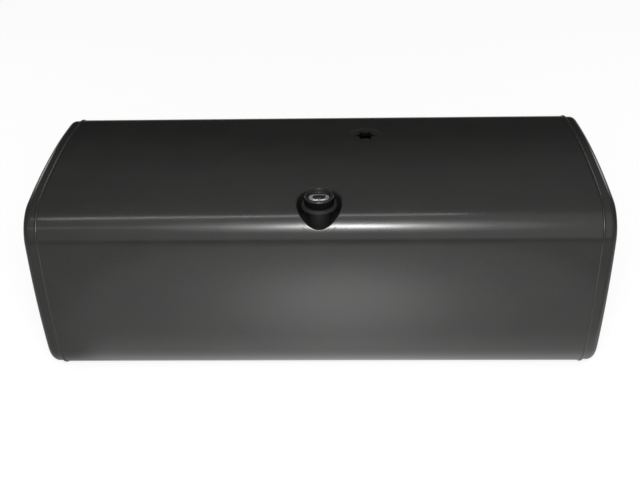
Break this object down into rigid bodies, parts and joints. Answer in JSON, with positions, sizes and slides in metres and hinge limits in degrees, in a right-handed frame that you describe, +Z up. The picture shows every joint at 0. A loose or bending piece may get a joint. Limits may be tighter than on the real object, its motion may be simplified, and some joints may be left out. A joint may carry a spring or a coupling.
{
  "type": "truck fuel tank",
  "caption": "Long steel fuel tank of rounded box section with welded end heads, a locking filler cap sunk in a round pocket in the front upper corner and a round sender opening in the top.",
  "frame": {"origin": "on the ground under the middle of the tank, where its box's bottom face has its centre", "axes": "+X along the tank, to the right as seen from the filler's side; -Y faces the filler's side; +Z up"},
  "size_m": [1.6, 0.689, 0.575],
  "materials": {
    "tank_paint": "gloss black powder coat",
    "bare_steel": "bare rolled steel",
    "copper": "soft copper",
    "zinc_plate": "zinc plated",
    "cap_lacquer": "dark lacquer on die casting",
    "core_nylon": "moulded",
    "seal_rubber": "smooth",
    "shutter_nylon": "moulded"
  },
  "bodies": {
    "tank": {"shell": "tank_paint", "left_head": "tank_paint", "right_head": "tank_paint", "left_seam_weld": "tank_paint", "right_seam_weld": "tank_paint", "long_seam_weld": "tank_paint", "left_baffle": "bare_steel", "right_baffle": "bare_steel", "filler_pocket": "tank_paint", "filler_neck": "tank_paint", "neck_flange": "tank_paint", "sender_ring": "bare_steel", "drain_boss": "tank_paint", "drain_washer": "copper", "drain_plug": "zinc_plate"},
    "seal": {"cap_seal": "seal_rubber"},
    "cap": {"cap_cover": "cap_lacquer", "cap_core": "core_nylon", "bayonet_plate": "zinc_plate", "plate_screw": "zinc_plate", "vent_insert": "core_nylon"},
    "lock": {"lock_barrel": "zinc_plate", "lock_cam": "zinc_plate"},
    "bolt": {"lock_bolt": "zinc_plate"},
    "shutter": {"key_shutter": "shutter_nylon"}
  },
  "joints": [
    {"name": "cap_lift", "type": "slide", "parent": "tank", "child": "seal", "axis": [0, 0, 1], "range_m": [0, 0.08]},
    {"name": "cap_turn", "type": "hinge", "parent": "seal", "child": "cap", "pos_m": [0.004, -0.258, 0.551], "axis": [0, 0, 1], "range_deg": [-90, 0]},
    {"name": "lock_turn", "type": "hinge", "parent": "cap", "child": "lock", "pos_m": [0.004, -0.258, 0.568], "axis": [0, 0, 1], "range_deg": [0, 90]},
    {"name": "bolt_slide", "type": "slide", "parent": "cap", "child": "bolt", "axis": [-1, 0, 0], "range_m": [0, 0.004]},
    {"name": "shutter_swivel", "type": "hinge", "parent": "cap", "child": "shutter", "pos_m": [0.0147, -0.258, 0.568], "axis": [0, 0, 1], "range_deg": [0, 100]}
  ],
  "couplings": [
    {"joint": "bolt_slide", "follows": "lock_turn", "m_per_rad": 0.0025464}
  ]
}
